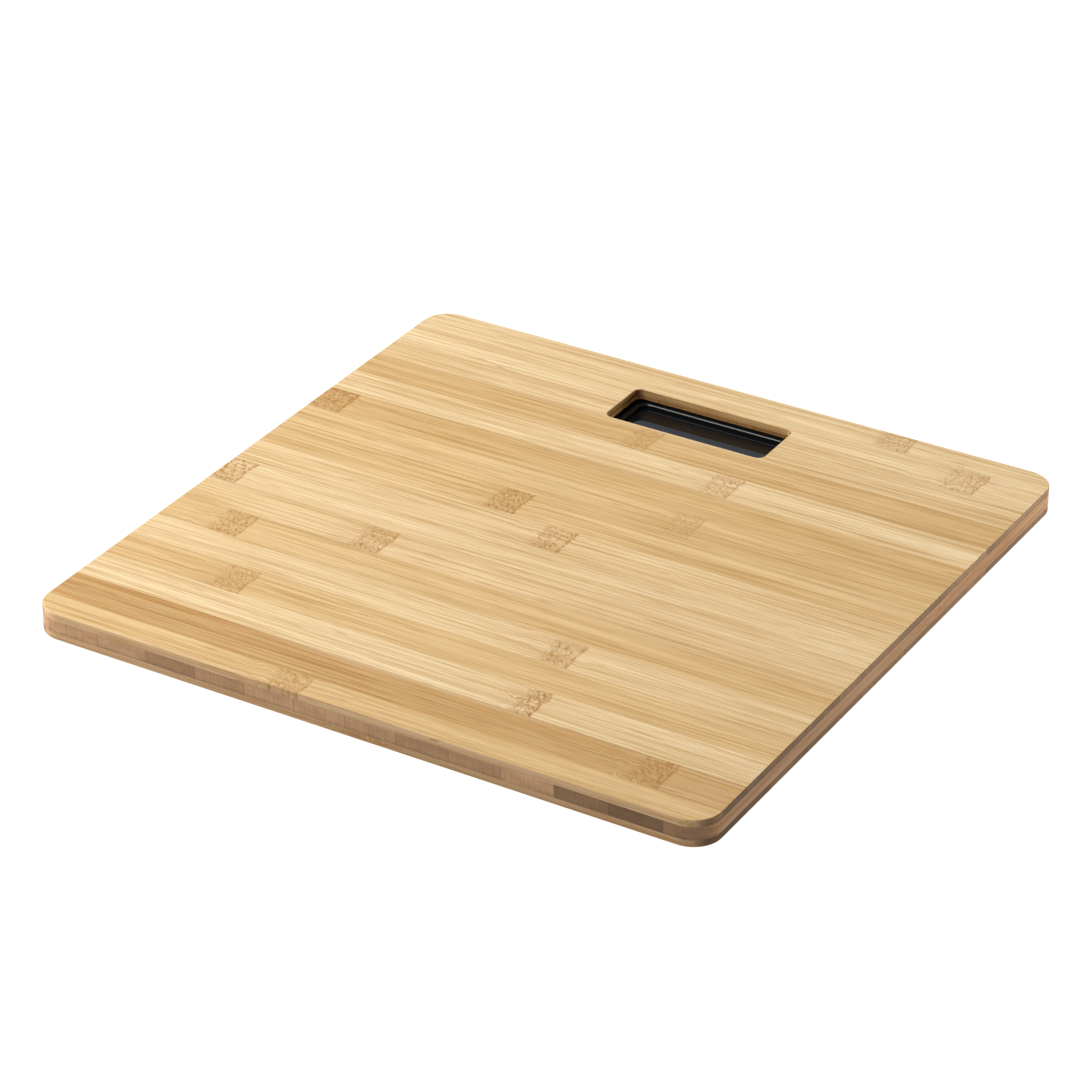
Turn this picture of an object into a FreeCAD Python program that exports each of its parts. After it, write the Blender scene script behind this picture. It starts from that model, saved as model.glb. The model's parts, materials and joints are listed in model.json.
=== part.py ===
"""Digital bathroom scale: a square three-ply bamboo platform on four load-cell feet.

The display, its circuit board and two AAA cells sit in a black module let into the underside.
A window through the board shows the display. Millimetres, +Z up, origin on the floor under the
middle of the platform, +Y towards the display edge.
"""
import FreeCAD
import Part
import math
import os

V = FreeCAD.Vector

# ---------------------------------------------------------------- driving dimensions
# Platform board: two face plies with their grain along X, and a core ply with its grain along Y
board_width = 300.0
board_depth = 300.0
board_corner = 12.0
face_ply = 3.1
core_ply = 5.6
edge_break = 0.5
ground_gap = 10.3            # floor to the underside of the board

# Display window through the board
window_width = 75.0
window_depth = 28.8
window_corner = 3.5
window_margin = 19.6         # window to the board's back edge
window_wall = 4.8            # board top to the ceiling of the module pocket

# Module pocket milled into the underside
pocket_side = 9.5            # pocket beyond the window, each side
pocket_behind = 8.1
pocket_corner = 6.0
module_clearance = 0.4
roof_clearance = 0.3         # battery box to the pocket's ceiling

# Display stack, from the window down
gasket_thick = 1.2
gasket_width = 4.0
gasket_setback = 0.6
bezel_lip = 1.5              # the bezel's opening inside the window, at the back and front
bezel_side = 3.4             # and at the sides
bezel_corner = 3.1
bezel_round = 0.8
bezel_thick = 1.8
lens_thick = 1.0
lens_overlap = 2.0
lcd_side = 4.5               # window's edge to the LCD, left and right
lcd_end = 1.9                # and at the back and front
lcd_glass = 1.0
lcd_ledge = 3.0              # contact ledge of the front glass
lens_gap = 0.2
guide_thick = 1.9
stack_gap = 0.1
guide_inset = 1.0            # light guide and contact strip to the LCD's ends
guide_end = 0.5              # light guide to the LCD's front
zebra_width = 1.8
led_pair = 12.0              # between the two lamps at the light guide's right-hand end
led_long = 2.8
led_into = 0.9               # lamp over the LCD's end
led_out = 0.8                # and past it
board_thick = 1.2            # circuit board
circuit_corner = 1.5
circuit_margin = 1.0         # circuit board to the housing's inner wall
circuit_ahead = 5.0          # LCD's ledge to the front lead plugs
boss_radius = 2.0
boss_inset = 2.4             # boss axis to the circuit board's edge
pcb_screw_radius = 0.9
blob_radius = 6.0            # epoxy over the chip
blob_height = 1.4
chip_rows = 2                # small parts in rows to the right of the chip
chip_columns = 6
chip_first = 12.0            # first column, from the middle
chip_pitch = 4.0
chip_ahead = 6.0             # first row, in front of the window's middle
chip_row_pitch = 8.0
chip_long = 1.6
chip_wide = 0.8
chip_high = 0.6
crystal_first = 14.0         # tall crystal behind the rows
crystal_behind = 7.0
crystal_long = 8.0
crystal_wide = 3.2
crystal_high = 1.8

# Module housing and its cover
housing_wall = 1.6
cover_plate = 1.8
cover_wall = 1.5
cover_round = 1.0
flange_width = 6.5
flange_thick = 1.4
flange_round = 0.56

# Battery bay for two AAA cells lying along X
cell_radius = 5.25
cell_length = 43.7
cell_round = 0.5
nub_radius = 1.9
nub_length = 0.8
cell_gap = 0.7               # between the two cells
cell_slack = 0.3
spring_room = 5.6            # space for the pressed coil
bay_wall = 1.5
bay_roof = 0.9
bay_front = 2.3              # bay to the housing's inner front wall
bay_behind = 8.9             # battery box to the circuit board
contact_thick = 0.4
contact_size = 8.6
dimple_radius = 2.6
dimple_height = 1.1
spring_wire = 0.35           # wire radius
spring_turns = 3.5
spring_steps = 12            # points of the coil's curve in one turn
spring_base = 3.7
spring_tip = 2.4
tab_width = 3.0
tab_drop = 1.5               # cell's axis to the tab's axis
tab_reach = 3.0              # solder tab past the battery box
wire_radius = 0.6
wire_bend = 2.4
wire_inset = 0.7             # back cell's wire to the battery box, and the pitch to the front one's
wire_pitch = 1.6

# Battery door, sliding towards the front of the scale
door_overlap = 4.0           # door beyond the bay, each side
door_clearance = 0.2
door_tongue = 1.0
tongue_thick = 0.6
door_ridges = 5
ridge_first = 5.0            # door's back edge to the first ridge
ridge_reach = 9.0            # half the ridges' length
ridge_width = 1.0
ridge_pitch = 2.2
ridge_deep = 0.5

# Unit button on the cover and its switch on the circuit board
button_radius = 4.0
button_flange = 1.0
button_flange_thick = 0.6
button_flange_gap = 0.05
button_side = 16.0           # button's axis to the circuit board's left edge
button_inset = 22.0          # and to its back edge
button_stand = 0.3           # button proud of the cover
button_travel = 0.3
button_clearance = 0.15
button_round = 0.4
switch_size = 6.0
switch_height = 1.5
plunger_radius = 1.5
plunger_stand = 0.4

# Load-cell feet
foot_inset = 38.0            # foot axis to the board's edges
foot_radius = 21.0
foot_wall = 1.6
foot_sunk = 4.0              # foot housing let into the board
foot_lip = 1.0
foot_round = 1.0
foot_roof = 1.6
foot_pocket_clearance = 0.3
ledge_width = 3.9            # ledge that the load cell bears on
cell_plate_gap = 0.8         # load cell to the housing's wall
cell_plate_thick = 1.4
cell_plate_drop = 1.1        # board's underside to the load cell
foot_travel = 0.5
cap_travel_gap = 0.9         # foot cap's flange to the load cell when the foot is pressed in
tongue_width = 9.0
tongue_length = 20.0
tongue_slot = 2.0
cap_gap = 0.6                # flange to the housing's wall
cap_flange = 1.4
lip_gap = 0.4                # foot cap to the housing's lip
cap_flange_thick = 1.3
cap_wall = 1.8
cap_bottom = 1.0
cap_clearance = 0.1
cap_round = 0.8
rib_thick = 1.2
rib_inset = 1.0              # rib's end to the cap's outside
boss_press_radius = 4.0
pad_rim = 1.9                # foot cap's wall outside the pad
pad_recess = 0.8
pad_clearance = 0.05
pad_round = 0.4
pad_groove = 0.5
pad_groove_width = 1.0
pad_groove_pitch = 3.5
pad_grooves = 3
gauge_near = 4.0
gauge_far = 10.0
gauge_width = 7.0
gauge_round = 1.2
gauge_cover = 0.2            # potting over the lead's cores
foil_long = 3.0
foil_wide = 4.0
foil_thick = 0.15

# Screws
screw_radius = 1.3
screw_head_radius = 2.5
screw_head_height = 1.5
screw_clearance = 0.05
screw_crown = 0.45           # rounding of a head, as a share of its height
screw_point = 1.5            # length of a shank's point, as a share of its radius
screw_tip = 0.15             # radius of the point's end, as a share of the shank's
drive_reach = 0.55           # half the cross recess's span, as a share of the head's radius
foot_screw_inset = 2.0       # screw head to the ledge
foot_screw_grip = 6.0
cover_screw_grip = 8.0
cover_screw_ends = 12.0      # from the flange's ends
cover_screw_out = 0.6        # outside the middle of the flange
pcb_screw_head = 1.7
pcb_screw_head_height = 0.9
pcb_screw_grip = 4.5
drive_width = 0.7            # arm width of the cross recess
drive_deep = 0.8

# Sensor leads: three cores side by side in a milled groove under a strip of tape
core_radius = 0.55
core_pitch = 1.15
groove_width = 5.0
groove_deep = 2.2
lead_bend = 60.0
lead_turn_ahead = 34.0       # bend point to the pocket's front wall
tape_width = 10.0
tape_thick = 0.25
tape_foot_gap = 1.5
tape_flange_gap = 0.6
plug_length = 4.5
plug_width = 6.0
plug_height = 3.6

# ---------------------------------------------------------------- levels and places
core_bottom = ground_gap + face_ply
core_top = core_bottom + core_ply
board_top = core_top + face_ply
half_x = board_width / 2
half_y = board_depth / 2

window_x = window_width / 2
window_y1 = half_y - window_margin
window_y0 = window_y1 - window_depth
ceiling = board_top - window_wall

window_mid_y = (window_y0 + window_y1) / 2

pocket_x = window_x + pocket_side
pocket_y1 = window_y1 + pocket_behind
housing_x = pocket_x - module_clearance
housing_y1 = pocket_y1 - module_clearance
inner_x = housing_x - housing_wall
inner_y1 = housing_y1 - housing_wall
lcd_x = window_x - lcd_side
lcd_y0 = window_y0 + lcd_end
lcd_y1 = window_y1 - lcd_end
circuit_x = inner_x - circuit_margin
circuit_y1 = inner_y1 - circuit_margin
circuit_y0 = lcd_y0 - lcd_ledge - circuit_ahead - plug_length

cell_pitch = 2 * cell_radius + cell_gap
bay_x = (cell_length + nub_length + dimple_height + 2 * contact_thick + spring_room) / 2
bay_y1 = circuit_y0 - bay_behind - bay_wall
bay_y0 = bay_y1 - cell_pitch - 2 * cell_radius - 2 * cell_slack
bay_mid_y = (bay_y0 + bay_y1) / 2
nub_seat = bay_x - contact_thick - dimple_height
inner_y0 = bay_y0 - bay_front
housing_y0 = inner_y0 - housing_wall
pocket_y0 = housing_y0 - module_clearance

bay_top = ceiling - roof_clearance - bay_roof
cell_z = bay_top - door_clearance - cell_radius
plate_top = cell_z - cell_radius - door_clearance
cover_bottom = plate_top - cover_plate
bezel_top = ceiling - gasket_thick
lens_top = bezel_top - bezel_thick
lens_bottom = lens_top - lens_thick
glass_top = lens_bottom - lens_gap
glass_mid = glass_top - lcd_glass
glass_bottom = glass_mid - lcd_glass
guide_bottom = glass_bottom - guide_thick
circuit_top = guide_bottom - stack_gap
circuit_bottom = circuit_top - board_thick
bezel_x = window_x - bezel_side
bezel_y0 = window_y0 + bezel_lip
bezel_y1 = window_y1 - bezel_lip

flange_bottom = ground_gap - flange_thick
flange_x = housing_x + flange_width
flange_y0 = housing_y0 - flange_width
flange_y1 = housing_y1 + flange_width

door_x = bay_x + door_overlap
door_y1 = bay_y1 + bay_wall + door_clearance

button_x = button_side - circuit_x
button_y = circuit_y1 - button_inset
switch_bottom = circuit_bottom - switch_height
plunger_bottom = switch_bottom - plunger_stand

foot_x = half_x - foot_inset
foot_y = half_y - foot_inset
foot_ceiling = ground_gap + foot_sunk
roof_bottom = foot_ceiling - foot_roof
plate_high = ground_gap - cell_plate_drop
plate_low = plate_high - cell_plate_thick
cap_top = plate_low - foot_travel - cap_travel_gap
flange_seat = cap_top - cap_flange_thick
lip_top = flange_seat - cap_clearance
foot_bottom = lip_top - foot_lip
foot_inner = foot_radius - foot_wall
ledge_inner = foot_inner - ledge_width
foot_screw_circle = ledge_inner - foot_screw_inset - screw_head_radius
cap_outer = foot_inner - cap_gap
cap_radius = cap_outer - cap_flange
pad_radius = cap_radius - pad_rim

front_lead_x = (bay_x + bay_wall + inner_x) / 2
lead_z = ground_gap + groove_deep / 2
gauge_top = lead_z + core_radius + gauge_cover

FEET = {
    "front_left": (-1, -1),
    "front_right": (1, -1),
    "back_left": (-1, 1),
    "back_right": (1, 1),
}


# ---------------------------------------------------------------- shape helpers
def block(x0, x1, y0, y1, z0, z1):
    return Part.makeBox(x1 - x0, y1 - y0, z1 - z0, V(x0, y0, z0))


def rounded(x0, x1, y0, y1, z0, z1, radius):
    """A block whose four upright edges are rounded, as one extruded outline."""
    r = radius
    k = r * (1 - math.sqrt(0.5))
    corners = [
        (V(x1 - r, y0, z0), V(x1 - k, y0 + k, z0), V(x1, y0 + r, z0)),
        (V(x1, y1 - r, z0), V(x1 - k, y1 - k, z0), V(x1 - r, y1, z0)),
        (V(x0 + r, y1, z0), V(x0 + k, y1 - k, z0), V(x0, y1 - r, z0)),
        (V(x0, y0 + r, z0), V(x0 + k, y0 + k, z0), V(x0 + r, y0, z0)),
    ]
    edges = []
    for (a, b, c), (after, _, _) in zip(corners, corners[1:] + corners[:1]):
        edges.append(Part.Arc(a, b, c).toShape())
        edges.append(Part.LineSegment(c, after).toShape())
    return Part.Face(Part.Wire(edges)).extrude(V(0, 0, z1 - z0))


def disc(x, y, z0, z1, radius):
    return Part.makeCylinder(radius, z1 - z0, V(x, y, z0))


def ring(x, y, z0, z1, outer, inner):
    return disc(x, y, z0, z1, outer).cut(disc(x, y, z0, z1, inner))


def edges_at(shape, z, keep):
    """Edges that lie level at height z and whose middle passes keep(point)."""
    found = []
    for e in shape.Edges:
        box = e.BoundBox
        if abs(box.ZMin - z) < 1e-4 and abs(box.ZMax - z) < 1e-4:
            if keep(e.valueAt((e.FirstParameter + e.LastParameter) / 2)):
                found.append(e)
    return found


def turned(shape, x, y, degrees):
    shape = shape.copy()
    shape.rotate(V(0, 0, 0), V(0, 0, 1), degrees)
    shape.translate(V(x, y, 0))
    return shape


def route_edges(points, bend):
    """Straight runs through plan points at lead height, joined by arcs of radius bend."""
    pts = [V(x, y, lead_z) for x, y in points]
    edges = []
    start = pts[0]
    for before, corner, after in zip(pts, pts[1:], pts[2:]):
        u = (before - corner).normalize()
        w = (after - corner).normalize()
        half = u.getAngle(w) / 2
        reach = bend / math.tan(half)
        middle = (u + w).normalize() * (bend / math.sin(half) - bend)
        a = corner + u * reach
        b = corner + w * reach
        edges.append(Part.LineSegment(start, a).toShape())
        edges.append(Part.Arc(a, corner + middle, b).toShape())
        start = b
    edges.append(Part.LineSegment(start, pts[-1]).toShape())
    return edges


def lane(points, shift):
    """Plan points moved sideways by shift, to the left of the way they run."""
    pts = [V(x, y, 0) for x, y in points]
    runs = [(b - a).normalize() for a, b in zip(pts, pts[1:])]
    moved = []
    for p, into, out in zip(pts, runs[:1] + runs, runs + runs[-1:]):
        n = V(-(into.y + out.y), into.x + out.x, 0).normalize()
        spread = shift / math.cos(into.getAngle(out) / 2)
        moved.append((p.x + n.x * spread, p.y + n.y * spread))
    return moved


def turns_left(points):
    """1 for a route that bends to the left, -1 to the right, 0 for a straight one."""
    if len(points) < 3:
        return 0
    (ax, ay), (bx, by), (cx, cy) = points
    return math.copysign(1, (bx - ax) * (cy - by) - (by - ay) * (cx - bx))


def lane_edges(points, shift):
    """The lane's runs, with its bend on the same centre as the route's."""
    return route_edges(lane(points, shift), lead_bend - turns_left(points) * shift)


def strip(points, width, z0, z1):
    """A flat band of that width along a route, square at both ends."""
    left = lane(points, width / 2)
    right = lane(points, -width / 2)
    edges = lane_edges(points, width / 2) + lane_edges(points, -width / 2)
    for a, b in ((left[0], right[0]), (left[-1], right[-1])):
        edges.append(Part.LineSegment(V(*a, lead_z), V(*b, lead_z)).toShape())
    face = Part.Face(Part.Wire(Part.__sortEdges__(edges)))
    face.translate(V(0, 0, z0 - lead_z))
    return face.extrude(V(0, 0, z1 - z0))


def lead_tube(points, shift, radius):
    """A round core along the route's lane."""
    path = Part.Wire(lane_edges(points, shift))
    (ax, ay), (bx, by) = lane(points, shift)[:2]
    profile = Part.Wire(Part.makeCircle(radius, V(ax, ay, lead_z), V(bx - ax, by - ay, 0)))
    return path.makePipeShell([profile], True, False)


def drive_recess(z, depth, reach, width):
    """A cross recess that opens downwards at height z."""
    across = block(-reach, reach, -width / 2, width / 2, z, z + depth)
    along = block(-width / 2, width / 2, -reach, reach, z, z + depth)
    return across.fuse(along)


def screw(x, y, seat, grip, radius, head_radius, head_height, deep):
    """A pan-head screw driven upwards: the head hangs below seat, the shank ends in a point."""
    head = disc(0, 0, seat - head_height, seat, head_radius)
    low = edges_at(head, seat - head_height, lambda p: True)
    head = head.makeFillet(head_height * screw_crown, low)
    point = radius * screw_point
    shank = disc(0, 0, seat, seat + grip - point, radius)
    tip = Part.makeCone(radius, radius * screw_tip, point, V(0, 0, seat + grip - point))
    body = head.fuse([shank, tip]).removeSplitter()
    reach = head_radius * drive_reach
    body = body.cut(drive_recess(seat - head_height, deep, reach, drive_width))
    body.translate(V(x, y, 0))
    return body


def screw_hole(x, y, seat, grip, radius):
    return disc(x, y, seat, seat + grip + screw_clearance, radius + screw_clearance)


# ---------------------------------------------------------------- feet and lead routes
def exit_angle(name):
    """Direction, in degrees, in which a foot's lead leaves it."""
    sx, sy = FEET[name]
    if sy > 0:
        return 180.0 if sx > 0 else 0.0
    dx = sx * front_lead_x - sx * foot_x
    dy = (pocket_y0 - lead_turn_ahead) + foot_y
    return math.degrees(math.atan2(dy, dx))


def lead_points(name):
    """Plan points of a lead, from its gauge to its plug on the circuit board."""
    sx, sy = FEET[name]
    a = math.radians(exit_angle(name))
    x, y = sx * foot_x, sy * foot_y
    start = (x + gauge_far * math.cos(a), y + gauge_far * math.sin(a))
    if sy > 0:
        return [start, (sx * circuit_x, y)]
    bend_point = (sx * front_lead_x, pocket_y0 - lead_turn_ahead)
    return [start, bend_point, (sx * front_lead_x, circuit_y0)]


def foot_screw_places(name):
    sx, sy = FEET[name]
    for k in range(3):
        a = math.radians(exit_angle(name) + 60 + 120 * k)
        yield (sx * foot_x + foot_screw_circle * math.cos(a),
               sy * foot_y + foot_screw_circle * math.sin(a))


def cover_screw_places():
    x = housing_x + flange_width / 2 + cover_screw_out
    for sx in (-1, 1):
        for y in (flange_y0 + cover_screw_ends, flange_y1 - cover_screw_ends):
            yield sx * x, y


def boss_places():
    for sx in (-1, 1):
        for y in (circuit_y0 + boss_inset, circuit_y1 - boss_inset):
            yield sx * (circuit_x - boss_inset), y


def plug_places():
    """(x, y, lead direction) of the four lead plugs; the lead meets the plug's outer face."""
    for name, (sx, sy) in FEET.items():
        if sy > 0:
            yield name, sx * (circuit_x - plug_length / 2), foot_y, plug_length, plug_width
        else:
            yield name, sx * front_lead_x, circuit_y0 + plug_length / 2, plug_width, plug_length


# ---------------------------------------------------------------- platform plies
def board_sheet(z0, z1):
    return rounded(-half_x, half_x, -half_y, half_y, z0, z1, board_corner)


def window_cut():
    return rounded(-window_x, window_x, window_y0, window_y1,
                   ground_gap - 1, board_top + 1, window_corner)


def underside_cuts():
    """Everything milled into the board from below: module pocket, foot pockets and grooves."""
    cuts = [rounded(-pocket_x, pocket_x, pocket_y0, pocket_y1,
                    ground_gap - 1, ceiling, pocket_corner)]
    for name, (sx, sy) in FEET.items():
        cuts.append(disc(sx * foot_x, sy * foot_y, ground_gap - 1, foot_ceiling,
                         foot_radius + foot_pocket_clearance))
        cuts.append(strip(lead_points(name), groove_width,
                          ground_gap - 1, ground_gap + groove_deep))
        for x, y in foot_screw_places(name):
            cuts.append(screw_hole(x, y, roof_bottom, foot_screw_grip, screw_radius))
    for x, y in cover_screw_places():
        cuts.append(screw_hole(x, y, flange_bottom, cover_screw_grip, screw_radius))
    return cuts


def on_outline(p):
    """True on the board's outer edge, false on the window and on pockets."""
    return abs(abs(p.x) - half_x) < board_corner / 2 or abs(abs(p.y) - half_y) < board_corner / 2


def platform():
    window = window_cut()
    milled = underside_cuts()
    top = board_sheet(core_top, board_top).cut(window)
    top = top.makeFillet(edge_break, edges_at(top, board_top, lambda p: True))
    core = board_sheet(core_bottom, core_top).cut([window] + milled)
    bottom = board_sheet(ground_gap, core_bottom)
    bottom = bottom.makeFillet(edge_break, edges_at(bottom, ground_gap, on_outline))
    bottom = bottom.cut([window] + milled)
    return {"top_ply": top.cut(milled), "core_ply": core, "bottom_ply": bottom}


# ---------------------------------------------------------------- display stack
def display_parts():
    gasket_in_x = window_x + gasket_setback
    gasket_in_y0 = window_y0 - gasket_setback
    gasket_in_y1 = window_y1 + gasket_setback
    gasket = rounded(-gasket_in_x - gasket_width, gasket_in_x + gasket_width,
                     gasket_in_y0 - gasket_width, gasket_in_y1 + gasket_width,
                     bezel_top, ceiling, window_corner + gasket_width)
    gasket = gasket.cut(rounded(-gasket_in_x, gasket_in_x, gasket_in_y0, gasket_in_y1,
                                bezel_top, ceiling, window_corner + gasket_setback))

    lens_x = bezel_x + lens_overlap
    lens = rounded(-lens_x, lens_x, bezel_y0 - lens_overlap, bezel_y1 + lens_overlap,
                   lens_bottom, lens_top, window_corner)

    front_glass = block(-lcd_x, lcd_x, lcd_y0 - lcd_ledge, lcd_y1, glass_mid, glass_top)
    rear_glass = block(-lcd_x, lcd_x, lcd_y0, lcd_y1, glass_bottom, glass_mid)
    guide_x = lcd_x - guide_inset
    guide = block(-guide_x, guide_x, lcd_y0 + guide_end, lcd_y1, guide_bottom, glass_bottom)
    zebra_mid = lcd_y0 - lcd_ledge / 2
    zebra = block(-guide_x, guide_x, zebra_mid - zebra_width / 2, zebra_mid + zebra_width / 2,
                  circuit_top, glass_mid)
    leds = []
    for side in (-1, 1):
        y = window_mid_y + side * led_pair / 2
        leds.append(block(lcd_x - led_into, lcd_x + led_out, y - led_long / 2, y + led_long / 2,
                          circuit_top, circuit_top + guide_thick))
    return {
        "display_gasket": gasket,
        "display_lens": lens,
        "lcd_front_glass": front_glass,
        "lcd_rear_glass": rear_glass,
        "backlight_guide": guide,
        "zebra_connector": zebra,
        "backlight_leds": Part.makeCompound(leds),
    }


def display_housing():
    """Upper shell of the module: bezel, battery box and the bosses that the board screws to."""
    shell = rounded(-housing_x, housing_x, housing_y0, housing_y1, ground_gap, bezel_top,
                    pocket_corner - module_clearance)
    shell = shell.cut(rounded(-inner_x, inner_x, inner_y0, inner_y1, ground_gap, lens_top,
                              pocket_corner - module_clearance - housing_wall))
    opening = rounded(-bezel_x, bezel_x, bezel_y0, bezel_y1, lens_top, bezel_top, bezel_corner)
    shell = shell.cut(opening)

    def near_window(p):
        return abs(p.x) < bezel_x + 0.1 and bezel_y0 - 0.1 < p.y < bezel_y1 + 0.1

    shell = shell.makeFillet(bezel_round, edges_at(shell, bezel_top, near_window))

    outer_x, outer_y0, outer_y1 = bay_x + bay_wall, bay_y0 - bay_wall, bay_y1 + bay_wall
    box = block(-outer_x, outer_x, outer_y0, outer_y1, plate_top + door_clearance,
                bay_top + bay_roof)
    shell = shell.fuse(box)
    shell = shell.cut(block(-bay_x, bay_x, bay_y0, bay_y1, plate_top, bay_top))
    shell = shell.cut([tab(y, bay_x - 1, screw_clearance) for _, y in battery_rows()])
    bosses = [disc(x, y, circuit_top, lens_top, boss_radius) for x, y in boss_places()]
    shell = shell.fuse(bosses)
    shell = shell.cut([screw_hole(x, y, circuit_bottom, pcb_screw_grip, pcb_screw_radius)
                       for x, y in boss_places()])
    passages = [strip(lead_points(n), groove_width, ground_gap, ground_gap + groove_deep)
                for n in FEET]
    return shell.cut(passages).removeSplitter()


# ---------------------------------------------------------------- circuit board
def circuit_parts():
    pcb = rounded(-circuit_x, circuit_x, circuit_y0, circuit_y1, circuit_bottom, circuit_top,
                  circuit_corner)
    pcb = pcb.cut([disc(x, y, circuit_bottom, circuit_top, pcb_screw_radius + screw_clearance)
                   for x, y in boss_places()])

    sphere_radius = (blob_radius ** 2 + blob_height ** 2) / (2 * blob_height)
    blob_bottom = circuit_bottom - blob_height
    ball = Part.makeSphere(sphere_radius, V(0, window_mid_y, blob_bottom + sphere_radius))
    blob = ball.common(disc(0, window_mid_y, blob_bottom, circuit_bottom, blob_radius))

    # Resistors and capacitors in rows beside the chip, and the tall crystal
    small = []
    for row in range(chip_rows):
        for k in range(chip_columns):
            x = chip_first + chip_pitch * k
            y = window_mid_y - chip_ahead + chip_row_pitch * row
            small.append(block(x, x + chip_long, y, y + chip_wide,
                               circuit_bottom - chip_high, circuit_bottom))
    y = window_mid_y + crystal_behind
    small.append(rounded(crystal_first, crystal_first + crystal_long, y, y + crystal_wide,
                         circuit_bottom - crystal_high, circuit_bottom, crystal_wide * 0.47))

    plugs = []
    for _, x, y, wide, deep in plug_places():
        body = block(x - wide / 2, x + wide / 2, y - deep / 2, y + deep / 2,
                     circuit_top, circuit_top + plug_height)
        plugs.append(body)

    side = switch_size / 2
    switch = block(button_x - side, button_x + side, button_y - side, button_y + side,
                   switch_bottom, circuit_bottom)
    switch = switch.cut(disc(button_x, button_y, switch_bottom,
                             switch_bottom + 2 * button_travel + plunger_stand,
                             plunger_radius + button_clearance))
    plunger = disc(button_x, button_y, plunger_bottom, switch_bottom + plunger_stand,
                   plunger_radius)
    return {
        "main_circuit_board": pcb,
        "chip_blob": blob,
        "circuit_components": Part.makeCompound(small),
        "lead_plugs": Part.makeCompound(plugs),
        "unit_switch": switch,
        "unit_switch_plunger": plunger,
    }


# ---------------------------------------------------------------- cover, door and button
def cover_outer():
    box = rounded(-housing_x, housing_x, housing_y0, housing_y1, cover_bottom, ground_gap,
                  pocket_corner - module_clearance)
    return box.makeFillet(cover_round, edges_at(box, cover_bottom, lambda p: True))


def door_space(grow, tongue_grow):
    """The door's outline with that much added all round; it runs out past the front wall."""
    ahead = flange_y0 - 1
    plate = block(-door_x - grow, door_x + grow, ahead, door_y1 + grow,
                  cover_bottom - 1, plate_top + grow)
    middle = (cover_bottom + plate_top) / 2
    half = tongue_thick / 2 + tongue_grow
    reach = door_x + door_tongue + tongue_grow
    tongues = block(-reach, reach, ahead, door_y1 + grow, middle - half, middle + half)
    return plate, tongues


def cover_parts():
    outer = cover_outer()
    flange = rounded(-flange_x, flange_x, flange_y0, flange_y1, flange_bottom, ground_gap,
                     pocket_corner + flange_width)
    flange = flange.makeFillet(flange_round, edges_at(flange, flange_bottom, lambda p: True))
    cover = outer.fuse(flange)
    wall_x = housing_x - cover_wall
    cover = cover.cut(rounded(-wall_x, wall_x, housing_y0 + cover_wall, housing_y1 - cover_wall,
                              plate_top, ground_gap, pocket_corner - module_clearance - cover_wall))
    plate, tongues = door_space(door_clearance, door_clearance / 2)
    cover = cover.cut([plate, tongues])
    cover = cover.cut(disc(button_x, button_y, cover_bottom - 1, plate_top + 1,
                           button_radius + button_clearance))
    for x, y in cover_screw_places():
        cover = cover.cut(disc(x, y, flange_bottom, ground_gap, screw_radius + screw_clearance))
    cover = cover.removeSplitter()

    plate, tongues = door_space(0, 0)
    door = outer.common(plate)
    slab = block(-door_x - door_tongue, door_x + door_tongue, housing_y0, door_y1,
                 cover_bottom, plate_top)
    door = door.fuse(tongues.common(slab)).removeSplitter()
    for k in range(door_ridges):
        y = door_y1 - ridge_first - ridge_pitch * k
        door = door.cut(block(-ridge_reach, ridge_reach, y - ridge_width, y, cover_bottom,
                              cover_bottom + ridge_deep))

    low = cover_bottom - button_stand
    flange_low = plate_top + button_flange_gap
    button = disc(button_x, button_y, low, plunger_bottom, button_radius)
    button = button.makeFillet(button_round, edges_at(button, low, lambda p: True))
    button = button.fuse(disc(button_x, button_y, flange_low, flange_low + button_flange_thick,
                              button_radius + button_flange)).removeSplitter()
    return {"electronics_cover": cover, "battery_door": door, "unit_button": button}


# ---------------------------------------------------------------- cells and contacts
def battery_cell(sign, y):
    """A cell along X whose positive end points towards sign."""
    start = nub_seat - nub_length - cell_length
    can = Part.makeCylinder(cell_radius, cell_length, V(start, 0, 0), V(1, 0, 0))
    rims = [e for e in can.Edges if e.Curve.TypeId == "Part::GeomCircle"]
    can = can.makeFillet(cell_round, rims)
    nub = Part.makeCylinder(nub_radius, nub_length, V(start + cell_length, 0, 0), V(1, 0, 0))
    cell = can.fuse(nub).removeSplitter()
    if sign < 0:
        cell.rotate(V(0, 0, 0), V(0, 0, 1), 180)
    cell.translate(V(0, y, cell_z))
    return cell


def contact_plate(y, sign):
    """Plate on the bay's end wall; on the right-hand wall it has a tab through to the wire."""
    half = contact_size / 2
    x0, x1 = sorted((sign * bay_x, sign * (bay_x - contact_thick)))
    plate = block(x0, x1, y - half, y + half, cell_z - half, cell_z + half)
    if sign > 0:
        plate = plate.fuse(tab(y, bay_x, 0))
    return plate


def tab(y, x0, grow):
    """Solder tab through the battery box, or the slot for it when grow is its clearance."""
    half = tab_width / 2 + grow
    z = cell_z - tab_drop
    return block(x0, bay_x + bay_wall + tab_reach, y - half, y + half,
                 z - contact_thick / 2 - grow, z + contact_thick / 2 + grow)


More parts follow.
